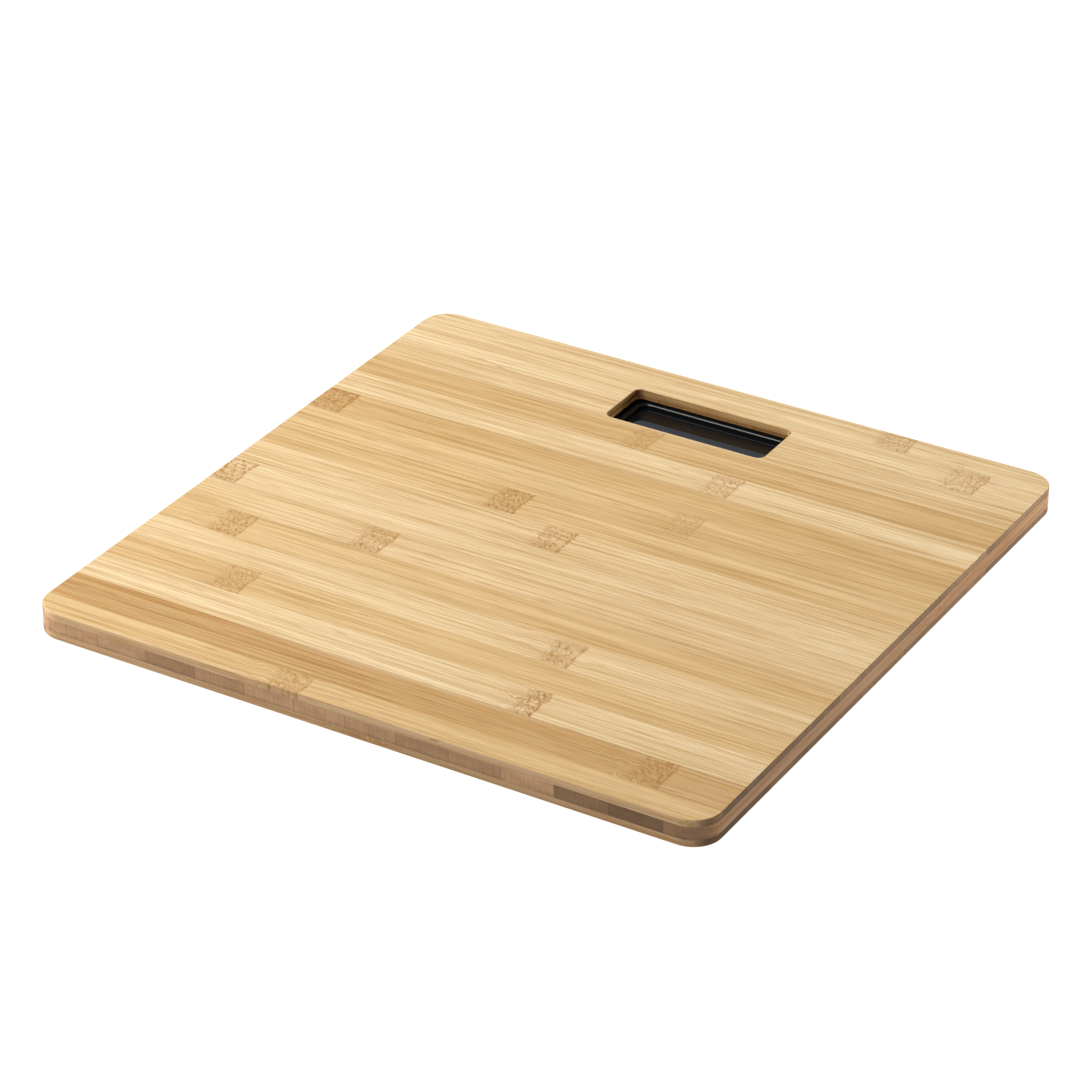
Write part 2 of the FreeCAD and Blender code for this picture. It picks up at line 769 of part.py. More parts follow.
def spring_contact(sign, y):
    """Plate against the bay wall at the cell's negative end, with a coil that narrows to the cell."""
    cell_end = nub_seat - nub_length - cell_length
    base = contact_thick - bay_x + spring_wire
    length = cell_end - base - spring_wire
    steps = round(spring_turns * spring_steps)
    line = []
    for i in range(steps + 1):
        t = i / steps
        r = spring_base + (spring_tip - spring_base) * t
        a = 2 * math.pi * spring_turns * t
        line.append(V(base + length * t, r * math.cos(a), r * math.sin(a)))
    curve = Part.BSplineCurve()
    curve.interpolate(line)
    path = Part.Wire(curve.toShape())
    profile = Part.Wire(Part.makeCircle(spring_wire, line[0], curve.tangent(0)[0]))
    coil = path.makePipeShell([profile], True, True)
    if sign < 0:
        coil.rotate(V(0, 0, 0), V(0, 0, 1), 180)
    coil.translate(V(0, y, cell_z))
    return Part.makeCompound([coil, contact_plate(y, -sign).removeSplitter()])


def button_contact(sign, y):
    """Plate with a pressed dimple that meets the cell's positive nub; the left one has the link."""
    plate = contact_plate(y, sign)
    if sign < 0:
        plate = plate.fuse(link_strip())
    dimple = Part.makeCone(dimple_radius, nub_radius, dimple_height,
                           V(sign * (bay_x - contact_thick), y, cell_z), V(-sign, 0, 0))
    return plate.fuse(dimple).removeSplitter()


def link_strip():
    """Strip that reaches the other left-hand contact, so that the cells are in series."""
    half = cell_pitch / 2 - contact_size / 2
    return block(-bay_x, contact_thick - bay_x, bay_mid_y - half, bay_mid_y + half,
                 cell_z - contact_thick, cell_z + contact_thick)


def battery_wire(y, away):
    """Wire from a solder tab's upper face, back past the tabs and down to the circuit board."""
    x = bay_x + bay_wall + wire_inset + away
    start = V(x, y, cell_z - tab_drop + contact_thick / 2)
    high = start.z + wire_bend + wire_radius / 2
    end_y = circuit_y0 + plug_length / 2
    corners = [V(x, y, high), V(x, end_y, high)]
    end = V(x, end_y, circuit_top)
    edges = []
    here = start
    for corner, after in zip(corners, corners[1:] + [end]):
        u = (here - corner).normalize()
        w = (after - corner).normalize()
        a = corner + u * wire_bend
        b = corner + w * wire_bend
        middle = corner + (u + w).normalize() * (wire_bend * (math.sqrt(2) - 1))
        edges.append(Part.LineSegment(here, a).toShape())
        edges.append(Part.Arc(a, middle, b).toShape())
        here = b
    edges.append(Part.LineSegment(here, end).toShape())
    profile = Part.Wire(Part.makeCircle(wire_radius, start, V(0, 0, 1)))
    return Part.Wire(edges).makePipeShell([profile], True, False)


def battery_rows():
    """(direction of the positive end, y) of the front cell and the back cell."""
    return (1, bay_mid_y - cell_pitch / 2), (-1, bay_mid_y + cell_pitch / 2)


def battery_parts():
    rows = battery_rows()
    wires = [battery_wire(rows[0][1], wire_pitch), battery_wire(rows[1][1], 0)]
    return {
        "battery_wires": Part.makeCompound(wires),
        "battery_cell_front": battery_cell(*rows[0]),
        "battery_cell_back": battery_cell(*rows[1]),
        "battery_springs": Part.makeCompound([spring_contact(*r) for r in rows]),
        "battery_contacts": Part.makeCompound([button_contact(*r) for r in rows]),
    }


# ---------------------------------------------------------------- one foot
def foot_housing():
    """Cup let into the board: roof, wall, the ledge for the load cell and a retaining lip."""
    cup = disc(0, 0, foot_bottom, foot_ceiling, foot_radius)
    rim = edges_at(cup, foot_bottom, lambda p: True)
    cup = cup.makeFillet(foot_round, rim)
    cup = cup.cut(disc(0, 0, lip_top, roof_bottom, foot_inner))
    cup = cup.cut(disc(0, 0, foot_bottom - 1, lip_top, cap_radius + lip_gap))
    cup = cup.fuse(ring(0, 0, plate_high, roof_bottom, foot_inner, ledge_inner))
    cup = cup.removeSplitter()
    half = groove_width / 2
    cup = cup.cut(block(ledge_inner - 1, foot_radius + 1, -half, half,
                        ground_gap, ground_gap + groove_deep))
    a = math.radians(60)
    for k in range(3):
        t = a + k * math.radians(120)
        cup = cup.cut(disc(foot_screw_circle * math.cos(t), foot_screw_circle * math.sin(t),
                           roof_bottom, foot_ceiling, screw_radius + screw_clearance))
    return cup


def load_cell():
    """Round steel plate with a U-shaped slot that frees a centre tongue, rooted towards +X."""
    plate = disc(0, 0, plate_low, plate_high, foot_inner - cell_plate_gap)
    half_l = tongue_length / 2
    half_w = tongue_width / 2
    slot = block(-half_l - tongue_slot, half_l, -half_w - tongue_slot, half_w + tongue_slot,
                 plate_low, plate_high)
    slot = slot.cut(block(-half_l, half_l, -half_w, half_w, plate_low, plate_high))
    return plate.cut(slot)


def strain_gauge():
    """Foil on the tongue's root, and the block of potting over it that the lead's cores leave."""
    half = gauge_width / 2
    foil = block(gauge_near - foil_long, gauge_near, -foil_wide / 2, foil_wide / 2,
                 plate_high, plate_high + foil_thick)
    potting = block(gauge_near, gauge_far, -half, half, plate_high, gauge_top)
    low = [e for e in potting.Edges if e.BoundBox.XMax < gauge_near + 1e-6
           and e.BoundBox.ZMin > gauge_top - 1e-6]
    return Part.makeCompound([foil, potting.makeFillet(gauge_round, low)])


def foot_cap():
    """Plunger under the load cell: flanged cup, centre boss and a recess for the rubber pad."""
    cap = disc(0, 0, cap_bottom, cap_top, cap_radius)
    cap = cap.makeFillet(cap_round, edges_at(cap, cap_bottom, lambda p: True))
    cap = cap.fuse(disc(0, 0, flange_seat, cap_top, cap_outer)).removeSplitter()
    floor = cap_bottom + pad_recess + cap_wall
    cap = cap.cut(disc(0, 0, floor, cap_top, cap_radius - cap_wall))
    reach = cap_radius - rib_inset
    half = rib_thick / 2
    ribs = [block(-reach, reach, -half, half, floor, cap_top),
            block(-half, half, -reach, reach, floor, cap_top)]
    boss = disc(0, 0, floor, plate_low, boss_press_radius)
    cap = cap.fuse(ribs + [boss]).removeSplitter()
    return cap.cut(disc(0, 0, cap_bottom, cap_bottom + pad_recess, pad_radius + pad_clearance))


def foot_pad():
    """Rubber disc with ring grooves in its tread."""
    pad = disc(0, 0, 0, cap_bottom + pad_recess, pad_radius)
    pad = pad.makeFillet(pad_round, edges_at(pad, 0, lambda p: True))
    half = pad_groove_width / 2
    for k in range(pad_grooves):
        r = pad_radius - pad_groove_pitch * (k + 1)
        pad = pad.cut(ring(0, 0, 0, pad_groove, r + half, r - half))
    return pad


def foot_parts():
    made = {}
    pieces = {"foot_housing": foot_housing(), "load_cell": load_cell(),
              "strain_gauge": strain_gauge(), "foot_cap": foot_cap(), "foot_pad": foot_pad()}
    for name, (sx, sy) in FEET.items():
        for kind, shape in pieces.items():
            made[f"{kind}_{name}"] = turned(shape, sx * foot_x, sy * foot_y, exit_angle(name))
    return made


# ---------------------------------------------------------------- leads, tape and screws
def lead_parts():
    made = {}
    tapes = []
    for name in FEET:
        points = lead_points(name)
        cores = [lead_tube(points, k * core_pitch, core_radius) for k in (-1, 0, 1)]
        made[f"sensor_lead_{name}"] = Part.makeCompound(cores)
        sx, sy = FEET[name]
        tape = strip(points, tape_width, ground_gap - tape_thick, ground_gap)
        tape = tape.cut(disc(sx * foot_x, sy * foot_y, ground_gap - 1, ground_gap,
                             foot_radius + tape_foot_gap))
        gap = tape_flange_gap
        tape = tape.cut(rounded(-flange_x - gap, flange_x + gap, flange_y0 - gap,
                                flange_y1 + gap, ground_gap - 1, ground_gap,
                                pocket_corner + flange_width))
        tapes.append(tape)
    made["lead_tapes"] = Part.makeCompound(tapes)
    return made


def screw_parts():
    feet = [screw(x, y, roof_bottom, foot_screw_grip, screw_radius, screw_head_radius,
                  screw_head_height, drive_deep)
            for name in FEET for x, y in foot_screw_places(name)]
    cover = [screw(x, y, flange_bottom, cover_screw_grip, screw_radius, screw_head_radius,
                   screw_head_height, drive_deep) for x, y in cover_screw_places()]
    board = [screw(x, y, circuit_bottom, pcb_screw_grip, pcb_screw_radius, pcb_screw_head,
                   pcb_screw_head_height, drive_deep * 0.6) for x, y in boss_places()]
    return {
        "foot_screws": Part.makeCompound(feet),
        "cover_screws": Part.makeCompound(cover),
        "circuit_board_screws": Part.makeCompound(board),
    }


# ---------------------------------------------------------------- write the parts
def main():
    parts = {}
    for made in (platform(), display_parts(), {"display_housing": display_housing()},
                 circuit_parts(), cover_parts(), battery_parts(), foot_parts(),
                 lead_parts(), screw_parts()):
        parts.update(made)
    os.makedirs("parts", exist_ok=True)
    for name, shape in parts.items():
        shape.exportStep(os.path.join("parts", name + ".step"))
        print(f"{name:28s} solids {len(shape.Solids):2d}  volume {shape.Volume:10.1f} mm3"
              f"  valid {shape.isValid()}")


main()
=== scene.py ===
"""Looks of the digital bathroom scale: a three-ply bamboo board on four load-cell feet."""
import bpy
import json
import math
from mathutils import Matrix, Vector

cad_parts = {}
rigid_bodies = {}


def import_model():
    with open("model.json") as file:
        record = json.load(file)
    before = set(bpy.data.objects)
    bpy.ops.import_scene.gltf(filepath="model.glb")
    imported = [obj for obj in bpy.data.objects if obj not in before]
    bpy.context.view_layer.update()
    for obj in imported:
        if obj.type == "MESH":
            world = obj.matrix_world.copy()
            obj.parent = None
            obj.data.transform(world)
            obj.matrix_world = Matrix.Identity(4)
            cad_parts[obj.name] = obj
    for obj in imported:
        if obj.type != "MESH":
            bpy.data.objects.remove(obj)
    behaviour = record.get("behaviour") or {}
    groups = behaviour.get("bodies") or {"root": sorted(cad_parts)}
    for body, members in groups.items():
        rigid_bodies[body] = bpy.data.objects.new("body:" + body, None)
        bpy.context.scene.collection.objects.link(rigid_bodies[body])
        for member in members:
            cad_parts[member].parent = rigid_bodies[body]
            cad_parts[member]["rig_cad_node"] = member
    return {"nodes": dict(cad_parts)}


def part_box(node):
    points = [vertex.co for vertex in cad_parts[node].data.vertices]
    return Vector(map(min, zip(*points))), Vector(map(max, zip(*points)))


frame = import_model()
nodes = frame["nodes"]
for spare in [o for o in bpy.data.objects if "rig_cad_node" not in o and o.type != "EMPTY"]:
    bpy.data.objects.remove(spare)
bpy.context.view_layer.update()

# ---------------------------------------------------------------- camera, floor and light
# A long portrait lens looks down on the scale from its front right-hand corner. The scale
# stands on a table of milk-white acrylic that is lit from below, under large soft panels.
board_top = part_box("top_ply")[1].z
camera_azimuth = math.radians(30.69)
camera_elevation = math.radians(29.82)
camera_roll = math.radians(0.196)
camera_distance = 1.6722
camera_aim = Vector((-0.00643, -0.00354, board_top))

toward = Vector((math.sin(camera_azimuth) * math.cos(camera_elevation),
                 -math.cos(camera_azimuth) * math.cos(camera_elevation),
                 math.sin(camera_elevation)))
level = (-toward).cross(Vector((0, 0, 1))).normalized()
upright = level.cross(-toward)
right = level * math.cos(camera_roll) + upright * math.sin(camera_roll)
up = upright * math.cos(camera_roll) - level * math.sin(camera_roll)
portrait_lens = bpy.data.cameras.new("camera")
portrait_lens.sensor_width = 36.0
portrait_lens.lens = 139.54
portrait_lens.clip_start = 0.05
camera = bpy.data.objects.new("camera", portrait_lens)
bpy.context.scene.collection.objects.link(camera)
turn = Matrix((right, up, toward)).transposed()
camera.matrix_world = Matrix.Translation(camera_aim + toward * camera_distance) @ turn.to_4x4()
bpy.context.scene.camera = camera
bpy.context.scene.view_settings.view_transform = "Standard"
MM = 0.001                   # the scene is in metres, and finishes are worked out in millimetres


class Signal:
    """A node's output in a finish; an expression on signals adds its Math nodes."""

    def __init__(self, finish, socket):
        self.finish = finish
        self.socket = socket

    def maths(self, operation, *others):
        """The result of a Math node on this signal and the others."""
        return self.finish.node("ShaderNodeMath", {"operation": operation},
                                dict(enumerate((self,) + others)))

    def __add__(self, other):
        return self.maths("ADD", other)

    def __radd__(self, other):
        return self.maths("ADD", other)

    def __sub__(self, other):
        return self.maths("SUBTRACT", other)

    def __rsub__(self, other):
        return self.maths("MULTIPLY", -1.0).maths("ADD", other)

    def __mul__(self, other):
        return self.maths("MULTIPLY", other)

    def __rmul__(self, other):
        return self.maths("MULTIPLY", other)

    def __truediv__(self, other):
        return self.maths("DIVIDE", other)

    def __abs__(self):
        return self.maths("ABSOLUTE")


class Finish:
    """A material, with one method that adds a node and a few named ones that use it."""

    def __init__(self, name):
        self.material = bpy.data.materials.new(name)
        self.material.use_nodes = True
        self.tree = self.material.node_tree
        self.tree.nodes.clear()
        self.shader = self.tree.nodes.new("ShaderNodeBsdfPrincipled")
        out = self.tree.nodes.new("ShaderNodeOutputMaterial")
        self.tree.links.new(self.shader.outputs[0], out.inputs[0])

    def node(self, kind, settings, inputs, output=0):
        """Adds a node, sets it up and feeds its inputs; the result is one of its outputs.

        The setting called steps lays a colour ramp's steps, as pairs of place and colour.
        """
        made = self.tree.nodes.new(kind)
        for key, value in settings.items():
            if key == "steps":
                self.lay_steps(made.color_ramp, value)
            else:
                setattr(made, key, value)
        for key, value in inputs.items():
            self.feed(made.inputs[key], value)
        return Signal(self, made.outputs[output])

    def lay_steps(self, ramp, steps):
        """Gives a ramp one even colour from each place up to the next."""
        ramp.interpolation = "CONSTANT"
        while len(ramp.elements) < len(steps):
            ramp.elements.new(0.5)
        for element, (place, colour) in zip(ramp.elements, steps):
            element.position = place
            element.color = (*colour, 1.0)

    def feed(self, socket, value):
        """Links a signal to a socket, or sets the socket to a plain value."""
        if isinstance(value, Signal):
            self.tree.links.new(value.socket, socket)
        else:
            socket.default_value = value

    def set(self, **inputs):
        """Sets the shader's sockets; an underscore stands for a space."""
        for key, value in inputs.items():
            if isinstance(value, tuple) and len(value) == 3:
                value = (*value, 1.0)
            self.feed(self.shader.inputs[key.replace("_", " ")], value)
        return self.material

    def parts(self, vector):
        """A vector's or a colour's three numbers as signals."""
        split = self.node("ShaderNodeSeparateXYZ", {}, {0: vector})
        return [Signal(self, out) for out in split.socket.node.outputs]

    def place(self):
        """Object coordinates in millimetres, as three signals."""
        where = self.node("ShaderNodeTexCoord", {}, {}, "Object")
        return [axis * (1 / MM) for axis in self.parts(where)]

    def facing(self):
        """The surface normal as three signals."""
        return self.parts(self.node("ShaderNodeTexCoord", {}, {}, "Normal"))

    def noise(self, x, y, z, detail=2.0, roughness=0.5):
        """Soft noise about 0 that reaches about 0.35 either way; one unit is one lump."""
        vector = self.node("ShaderNodeCombineXYZ", {}, {0: x, 1: y, 2: z})
        made = self.node("ShaderNodeTexNoise", {},
                         {"Vector": vector, "Scale": 1.0, "Detail": detail, "Roughness": roughness})
        return made - 0.5

    def fade(self, value, low, high):
        """0 up to low and 1 from high on, smooth between; low may be the larger."""
        return self.node("ShaderNodeMapRange", {"interpolation_type": "SMOOTHSTEP"},
                         {0: value, 1: low, 2: high})

    def pick(self, position, colours):
        """One of the colours: each has an equal share of positions from 0 to 1."""
        steps = [(i / len(colours), colour) for i, colour in enumerate(colours)]
        return self.node("ShaderNodeValToRGB", {"steps": steps}, {0: position})

    def mix(self, amount, a, b):
        """Colour a turning into colour b as amount goes from 0 to 1."""
        a = (*a, 1.0) if isinstance(a, tuple) else a
        b = (*b, 1.0) if isinstance(b, tuple) else b
        return self.node("ShaderNodeMix", {"data_type": "RGBA"}, {0: amount, 6: a, 7: b}, 2)

    def dim(self, colour, amount):
        """The colour times a number."""
        return self.node("ShaderNodeVectorMath", {"operation": "SCALE"}, {0: colour, 3: amount})

    def tint(self, colour, factors):
        """The colour times a factor for red, green and blue."""
        return self.node("ShaderNodeVectorMath", {"operation": "MULTIPLY"}, {0: colour, 1: factors})

    def bump(self, height, depth):
        """A normal from a height signal, where a height of 1 stands depth metres proud."""
        return self.node("ShaderNodeBump", {}, {"Strength": 1.0, "Distance": depth, "Height": height})


def coat(node, material):
    """Gives a CAD node its finish."""
    nodes[node].data.materials.clear()
    nodes[node].data.materials.append(material)


floor_half = 6.0
floor_glow = 1.0
mottle_size = 240.0          # millimetres
mottle_strength = 0.02
world_strength = 0.08


def floor_finish():
    """Milk-white acrylic that is lit from below, with a faint mottle."""
    sheet = Finish("lit_acrylic")
    x, y, z = sheet.place()
    mottle = sheet.noise(x / mottle_size, y / mottle_size, 0.0)
    return sheet.set(Base_Color=sheet.dim((0.10, 0.10, 0.10), 1.0 + mottle_strength * mottle),
                     Roughness=0.9, Specular_IOR_Level=0.1,
                     Emission_Color=(1.0, 1.0, 1.0), Emission_Strength=floor_glow)


floor_mesh = bpy.data.meshes.new("floor")
floor_mesh.from_pydata([(-floor_half, -floor_half, 0), (floor_half, -floor_half, 0),
                        (floor_half, floor_half, 0), (-floor_half, floor_half, 0)], [],
                       [(0, 1, 2, 3)])
floor = bpy.data.objects.new("floor", floor_mesh)
floor.data.materials.append(floor_finish())
bpy.context.scene.collection.objects.link(floor)


def panel(name, azimuth, elevation, distance, width, height, power, colour=(1, 1, 1)):
    """A soft light panel that faces the scale; azimuth is measured as the camera's is."""
    light = bpy.data.lights.new(name, "AREA")
    light.shape = "RECTANGLE"
    light.size = width
    light.size_y = height
    light.energy = power
    light.color = colour
    lamp = bpy.data.objects.new(name, light)
    bpy.context.scene.collection.objects.link(lamp)
    az, el = math.radians(azimuth), math.radians(elevation)
    away = Vector((math.sin(az) * math.cos(el), -math.cos(az) * math.cos(el), math.sin(el)))
    lamp.location = away * distance
    lamp.rotation_euler = away.to_track_quat("Z", "Y").to_euler()


panel("key_panel", azimuth=-88, elevation=60, distance=1.6, width=1.0, height=1.0, power=25.2,
      colour=(1.0, 0.985, 0.97))
panel("fill_panel", azimuth=-30, elevation=48, distance=1.9, width=0.6, height=0.6, power=5.0,
      colour=(1.0, 0.98, 0.95))
panel("back_panel", azimuth=212, elevation=26, distance=2.0, width=1.3, height=0.8, power=2.3,
      colour=(0.80, 0.87, 1.0))
panel("left_card", azimuth=-64, elevation=5, distance=0.46, width=0.24, height=0.08, power=0.86)
panel("right_card", azimuth=130, elevation=5, distance=0.56, width=0.28, height=0.08, power=1.45)

world = bpy.data.worlds.new("studio")
bpy.context.scene.world = world
world.use_nodes = True
sky = world.node_tree.nodes["Background"]
sky.inputs["Color"].default_value = (1.0, 1.0, 1.0, 1.0)
sky.inputs["Strength"].default_value = world_strength

# ---------------------------------------------------------------- the three plies of the board
# Flat-pressed caramel bamboo: strips glued edge to edge, three layers with their grain
# crossed, sanded and sprayed with one thin coat of satin varnish.
PALE = (0.870, 0.655, 0.355)
STRAW = (0.835, 0.610, 0.318)
HONEY = (0.780, 0.541, 0.252)
TAN = (0.735, 0.490, 0.213)
TOAST = (0.625, 0.376, 0.148)
UMBER = (0.640, 0.415, 0.180)
CARAMEL = (0.450, 0.250, 0.095)
no_knot = (390.0, 7.0, 0.0)
knot_reach = 800.0           # span of the knots' places, for the step that picks them
knot_widest = 20.0
dark_fibre = (0.74, 0.620, 0.470)        # factors on a strip's colour
pale_fibre = (1.14, 1.22, 1.40)
# painted shade: this tint makes the board's upright sides darker and bluer than its top
side_painted_shade_tint = (0.80, 0.775, 0.88)
# painted light: this tint makes the window's recessed walls brighter and warmer
window_wall_painted_light_tint = (1.44, 1.26, 0.86)
pale_thread_colour = (0.98, 0.84, 0.57)
dark_thread_colour = (0.560, 0.305, 0.100)
vein_colour = (0.500, 0.265, 0.085)
knot_colour = (0.470, 0.240, 0.075)
glue_colour = (0.34, 0.20, 0.085)
strip_shift = 137.0          # millimetres along the grain between two strips' patterns
end_colour = (0.530, 0.312, 0.168)
pore_colour = (0.160, 0.092, 0.055)
end_glue_colour = (0.12, 0.075, 0.05)
varnish_level = 0.06
wood_relief = 0.03           # millimetres from furrow to ridge
window_low, window_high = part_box("display_lens")
window_y = (window_low.y + window_high.y) / 2 / MM
# these two fades bound the painted light on the window's walls
window_fade_x = (90.0, 70.0)             # distance from the window's middle: none, full
window_fade_y = (26.0, 20.0)
ply_of = {"bamboo_top": "top_ply", "bamboo_core": "core_ply", "bamboo_bottom": "bottom_ply"}


def knot_marks(wood, along, side, strip, from_knot, strength):
    """A knot's band, its dark and pale flakes and the line along its crisp side."""
    band = wood.fade(from_knot, -1.45, -0.80) * wood.fade(from_knot, 1.10, 0.94) * strength
    slant, rise = along * 0.90 + side * 0.44, side * 0.90 - along * 0.44
    flake = wood.noise(slant * 0.95, rise * 0.42, strip * 1.7, 2.0, 0.65)
    dark_flake = wood.fade(flake, 0.0, 0.16)
    pale_flake = wood.fade(flake, -0.04, -0.18)
    ridge = wood.fade(abs(from_knot - 0.96), 0.13, 0.01) * strength
    return band, dark_flake, pale_flake, ridge


def end_grain(wood, name, along, across, depth, strip, edge, end_tone_and_shade):
    """Cut fibre bundles, denser and darker towards the foot of the ply."""
    speck = wood.noise(across * 1.9, along * 1.9, depth * 1.9, 2.0, 0.7)
    pores = wood.fade(speck, 0.0, 0.24)
    skin = wood.noise(across * 0.10, strip * 4.1, depth * 0.4, 1.0)
    bars = wood.noise(across * 0.9, strip * 2.9, depth * 0.12, 1.0)
    ply_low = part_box(ply_of[name])[0].z / MM
    foot = wood.fade(depth + bars * 1.2, ply_low + 1.7, ply_low + 0.2)
    # the end tone holds painted shade as well as each strip's own tone
    end = wood.dim(end_colour, end_tone_and_shade * 2.0 * (1.0 + skin * 0.5 + bars * 0.35))
    end = wood.mix(pores * 0.50 + foot * 0.30, end, pore_colour)
    return wood.mix(wood.fade(edge, 0.35, 0.10) * 0.35, end, end_glue_colour)


def bamboo(name, along_axis, first_joint, pitch, strips):
    """Strips of bamboo side by side.

    A strip is (colour, tone of its end grain with painted shade in it, streakiness, knot), and a knot
    is (place along the grain, half its width, strength). first_joint is the outer edge of the first
    strip, and strips run from there towards the negative side; all lengths are in millimetres.
    """
    wood = Finish(name)
    place = wood.place()
    normal = wood.facing()
    along, across, depth = place[along_axis], place[1 - along_axis], place[2]
    strips_in = (first_joint - across) / pitch
    strip = strips_in.maths("FLOOR")
    within = strips_in - strip
    step = (strip + 0.5) / float(len(strips))
    tone = wood.pick(step, [s[0] for s in strips])
    end_tone_and_shade, streaky, strength = wood.parts(wood.pick(
        step, [(s[1] / 2, s[2], s[3][2]) for s in strips]))
    knot, knot_half, _ = wood.parts(wood.pick(
        step, [(s[3][0] / knot_reach + 0.5, s[3][1] / knot_widest, 0) for s in strips]))
    knot = (knot - 0.5) * knot_reach
    knot_half = knot_half * knot_widest

    # Fibres run straight, and swirl where they pass a knot, whose sides waver a little
    waver = wood.noise(along * 0.02, across * 0.16, strip * 3.1, 2.0)
    from_knot = (along - knot + waver * 3.5) / knot_half
    near = wood.fade(abs(from_knot + 0.8), 4.2, 0.6) * strength
    swirl = wood.noise(along * 0.10, across * 0.15, strip * 5.7, 2.0) * near * 9.0
    run = along + strip * strip_shift
    side = across + swirl
    lean = along * 0.012

    # Four sizes of fibre bundle, each long along the grain and narrow across it
    broad = wood.noise(run * 0.006, (side + lean) * 0.16, depth * 0.2 + strip * 2.3, 1.0)
    medium = wood.noise(run * 0.008, side * 0.50, depth * 0.50 + strip, 1.0)
    narrow = wood.noise(run * 0.008, side * 1.35, depth * 1.35, 1.0)
    fine = wood.noise(run * 0.026, side * 3.2, depth * 3.2, 2.0, 0.7)
    light = 0.5 + broad * 1.0 + medium * 1.4 + narrow * 2.4 + fine * 3.6
    grain = wood.mix(light, wood.tint(tone, dark_fibre), wood.tint(tone, pale_fibre))

    # Single threads and veins that stand out from their strip
    thread = wood.fade(narrow + fine * 0.9 + medium * 0.3, 0.08, 0.20)
    pale_thread = wood.fade(narrow + fine * 0.9 - medium * 0.3, -0.08, -0.22)
    grain = wood.mix(pale_thread * (0.15 + streaky * 0.60), grain, pale_thread_colour)
    grain = wood.mix(thread * (0.34 + streaky * 0.34), grain, dark_thread_colour)
    wander = wood.noise(run * 0.009, side * 0.42, strip * 7.3, 1.0)
    vein = wood.fade(abs(wander), 0.020, 0.004) * wood.fade(broad + medium, -0.02, 0.12)
    grain = wood.mix(vein * 0.50, grain, vein_colour)

    # A knot is a browner band across the strip, with a fringe of dark threads beside it
    band, dark_flake, pale_flake, ridge = knot_marks(
        wood, along, side, strip, from_knot, strength)
    gather = wood.fade(from_knot, -4.5, -1.0) * wood.fade(from_knot, 1.3, 0.9) * strength
    fringe = gather * wood.fade(narrow + medium * 0.5, -0.04, 0.18)
    brown = band * (0.36 + dark_flake * 0.90 - pale_flake * 0.50) + ridge * 0.50 + fringe * 0.45
    grain = wood.mix(brown, grain, knot_colour)

    # Between strips the colour changes at once; only some joints show a thin line of glue
    edge = within.maths("MINIMUM", 1.0 - within) * pitch
    mood = wood.noise(strips_in.maths("ROUND") * 3.7, along * 0.01, 0.5, 0.0)
    joint = wood.fade(edge, 0.40, 0.08) * wood.fade(mood, -0.06, 0.16)
    grain = wood.mix(joint * 0.34, grain, glue_colour)

    # The board's milled sides carry painted shade, a darker and bluer tint than the top, and the
    # window's walls carry painted light, a brighter and warmer tint
    end = end_grain(wood, name, along, across, depth, strip, edge, end_tone_and_shade)
    cut = wood.fade(abs(normal[along_axis]), 0.35, 0.85)
    upright_side = wood.fade(abs(normal[2]), 0.75, 0.25)
    # painted shade: upright faces get the darker, bluer tint
    shaded_side_grain = wood.mix(upright_side, grain, wood.tint(grain, side_painted_shade_tint))
    colour = wood.mix(cut, shaded_side_grain, end)
    # painted light on the window's walls, where the recess gets little real light
    painted_light_by_window = (wood.fade(abs(place[0]), *window_fade_x)
                 * wood.fade(abs(place[1] - window_y), *window_fade_y))
    colour = wood.mix(upright_side * painted_light_by_window, colour, wood.tint(colour, window_wall_painted_light_tint))

    height = fine * 0.5 + narrow * 0.4 - thread * 0.3 - joint * 0.5 - dark_flake * band * 0.5
    wear = wood.noise(along * 0.02, across * 0.02, depth * 0.02, 2.0)
    return wood.set(Base_Color=colour, Roughness=0.44 + wear * 0.12 + cut * 0.14 - fine * 0.12,
                    Specular_IOR_Level=varnish_level, Normal=wood.bump(height, wood_relief * MM))


face_pitch = 18.28
face_first = 154.88
core_pitch = 22.75
core_first = 155.05
# Each strip's second number, its end-grain tone, also holds painted shade: darker towards the front
# in the top and bottom plies, darker towards the right in the core, and darker overall in the bottom
# ply
top_strips = [
    (PALE, 0.53, 0.2, (79, 7, 0.5)), (PALE, 0.53, 0.2, (118, 7.5, 0.5)),
    (STRAW, 0.55, 0.1, no_knot), (TAN, 0.42, 0.3, (-13, 5.5, 0.5)),
    (PALE, 0.57, 0.1, (35, 6, 0.45)), (TAN, 0.53, 0.2, (-143, 8, 0.8)),
    (HONEY, 0.45, 0.3, (37, 6, 0.35)), (HONEY, 0.43, 0.1, (-33.5, 6.5, 0.75)),
    (STRAW, 0.54, 0.1, (-2, 6.5, 0.6)), (PALE, 0.52, 0.8, (-144, 6, 0.7)),
    (STRAW, 0.54, 0.2, (-63, 6.5, 0.6)), (HONEY, 0.45, 0.3, (-119, 6.5, 0.65)),
    (PALE, 0.41, 0.3, (46, 6, 0.55)), (HONEY, 0.39, 0.2, (-93, 6.5, 0.55)),
    (PALE, 0.37, 0.9, (53.5, 4.5, 0.75)), (TOAST, 0.33, 0.4, (116, 6.5, 0.7)),
    (HONEY, 0.47, 0.2, (-32, 7, 0.6)),
]
